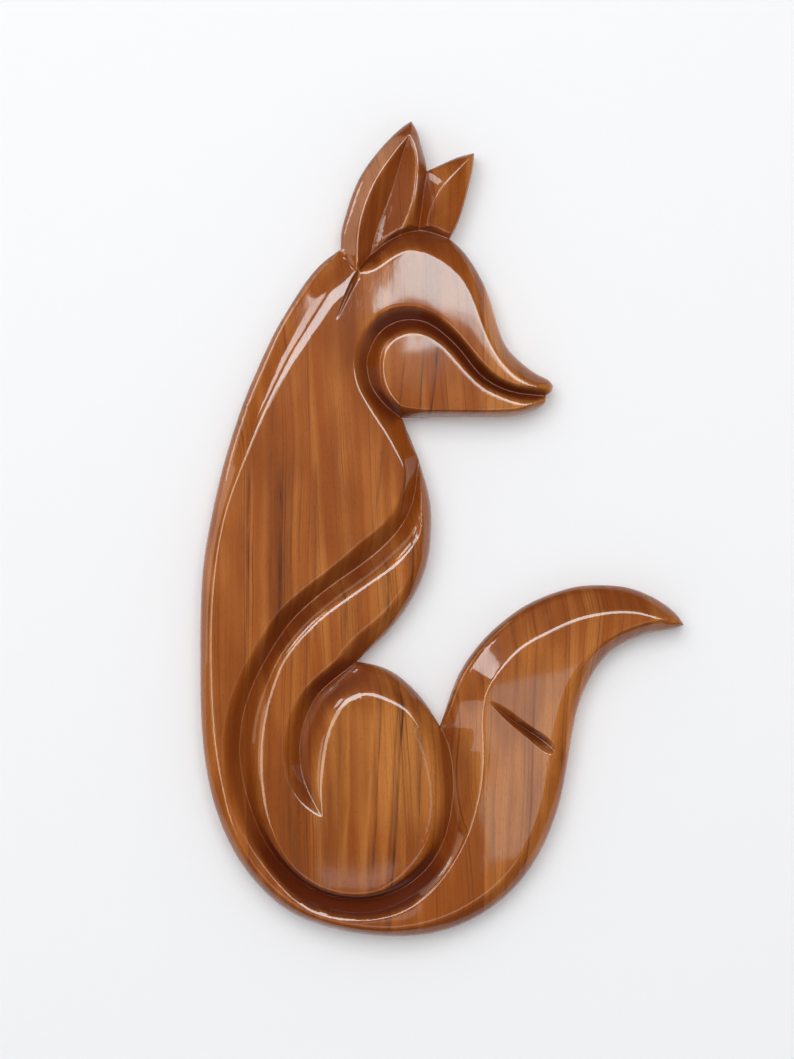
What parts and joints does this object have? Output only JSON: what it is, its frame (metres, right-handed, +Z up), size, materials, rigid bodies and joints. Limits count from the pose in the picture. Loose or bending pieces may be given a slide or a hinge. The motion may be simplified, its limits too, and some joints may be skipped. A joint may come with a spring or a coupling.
{
  "type": "carved fox wall figurine",
  "caption": "Sitting fox in profile carved in relief from an edge-glued hardwood board, flat behind, with a flush keyhole plate that hangs it on a wall screw.",
  "frame": {"origin": "centre of the hanger plate's round keyhole opening, on the flat back that lies on the wall", "axes": "+Z up, +X to the viewer's right, the carved front faces -Y and the wall is on +Y"},
  "size_m": [0.2967, 0.024, 0.4997],
  "materials": {
    "spine_teak": "gloss",
    "back_teak": "gloss",
    "centre_teak": "gloss",
    "muzzle_teak": "gloss",
    "tail_teak": "gloss",
    "plate_steel": "satin",
    "screw_steel": "satin"
  },
  "bodies": {
    "root": {"spine_stave": "spine_teak", "back_stave": "back_teak", "centre_stave": "centre_teak", "muzzle_stave": "muzzle_teak", "tail_stave": "tail_teak", "hanger_plate": "plate_steel", "hanger_screw_upper": "screw_steel", "hanger_screw_lower": "screw_steel"}
  },
  "joints": []
}
